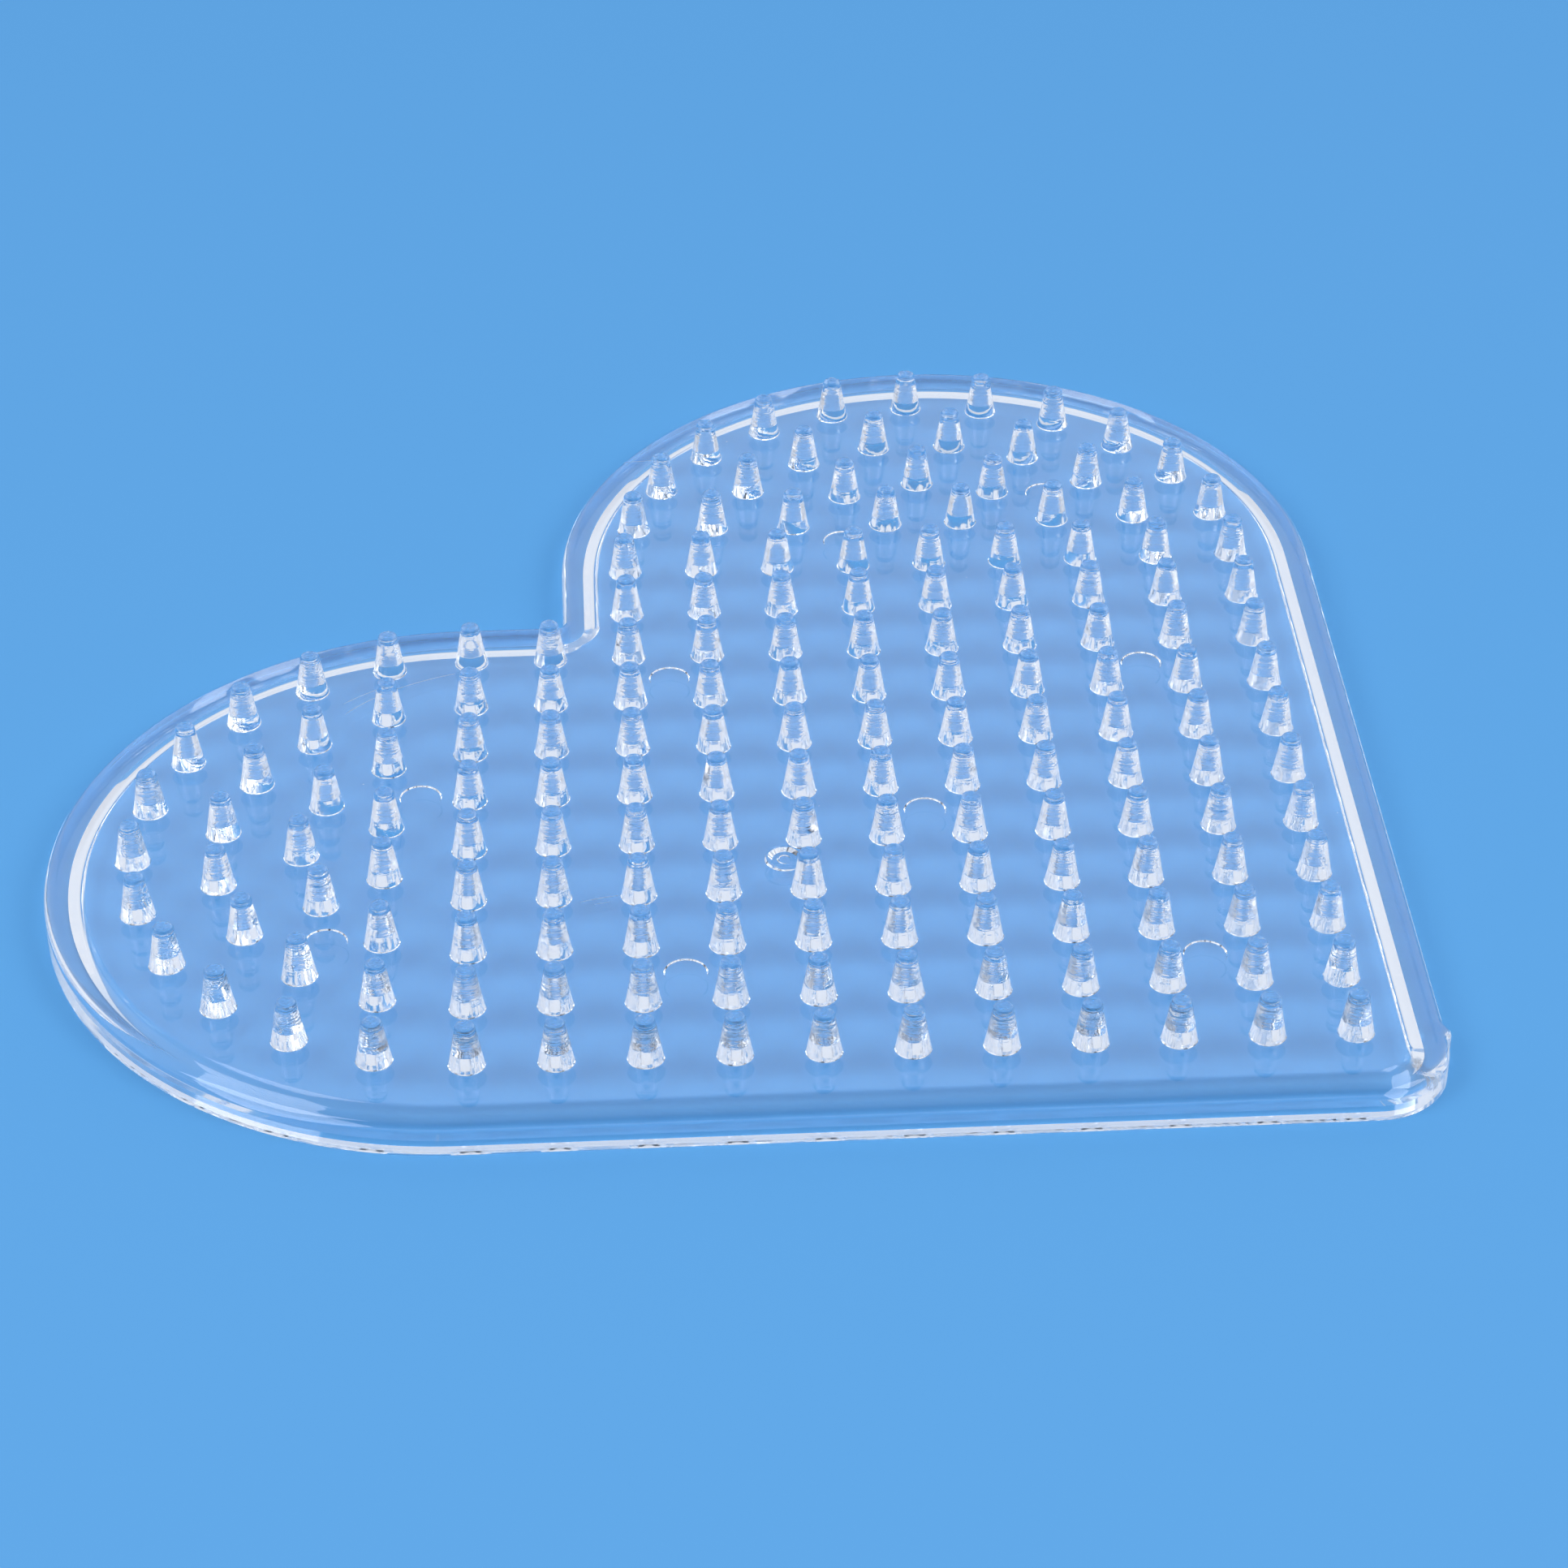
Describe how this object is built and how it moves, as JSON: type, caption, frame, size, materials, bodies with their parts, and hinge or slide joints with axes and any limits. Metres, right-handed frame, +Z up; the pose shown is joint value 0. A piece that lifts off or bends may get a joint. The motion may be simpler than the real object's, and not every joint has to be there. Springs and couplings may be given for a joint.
{
  "type": "fuse bead pegboard",
  "caption": "Clear heart-shaped pegboard whose tapered pegs hold midi fuse beads in a pattern while they are ironed together, with a rounded rim that lifts its deck off the table.",
  "frame": {"origin": "on the surface the board stands on, under the middle of its bounding box", "axes": "+Z up along the pegs, -Y towards the point of the heart, +X towards the right lobe"},
  "size_m": [0.0932, 0.0796, 0.005],
  "materials": {
    "clear_polystyrene": "clear, glossy as moulded, with fine turning marks on the pegs"
  },
  "bodies": {
    "root": {"point_rim": "clear_polystyrene", "right_side_rim": "clear_polystyrene", "right_lobe_rim": "clear_polystyrene", "notch_rim": "clear_polystyrene", "left_lobe_rim": "clear_polystyrene", "left_side_rim": "clear_polystyrene", "peg_row_01": "clear_polystyrene", "peg_row_02": "clear_polystyrene", "peg_row_03": "clear_polystyrene", "peg_row_04": "clear_polystyrene", "peg_row_05": "clear_polystyrene", "peg_row_06": "clear_polystyrene", "peg_row_07": "clear_polystyrene", "peg_row_08": "clear_polystyrene", "peg_row_09": "clear_polystyrene", "peg_row_10": "clear_polystyrene", "peg_row_11": "clear_polystyrene", "left_lobe_ring_1": "clear_polystyrene", "left_lobe_ring_2": "clear_polystyrene", "left_lobe_ring_3": "clear_polystyrene", "left_lobe_ring_4": "clear_polystyrene", "right_lobe_ring_1": "clear_polystyrene", "right_lobe_ring_2": "clear_polystyrene", "right_lobe_ring_3": "clear_polystyrene", "right_lobe_ring_4": "clear_polystyrene"}
  },
  "joints": []
}
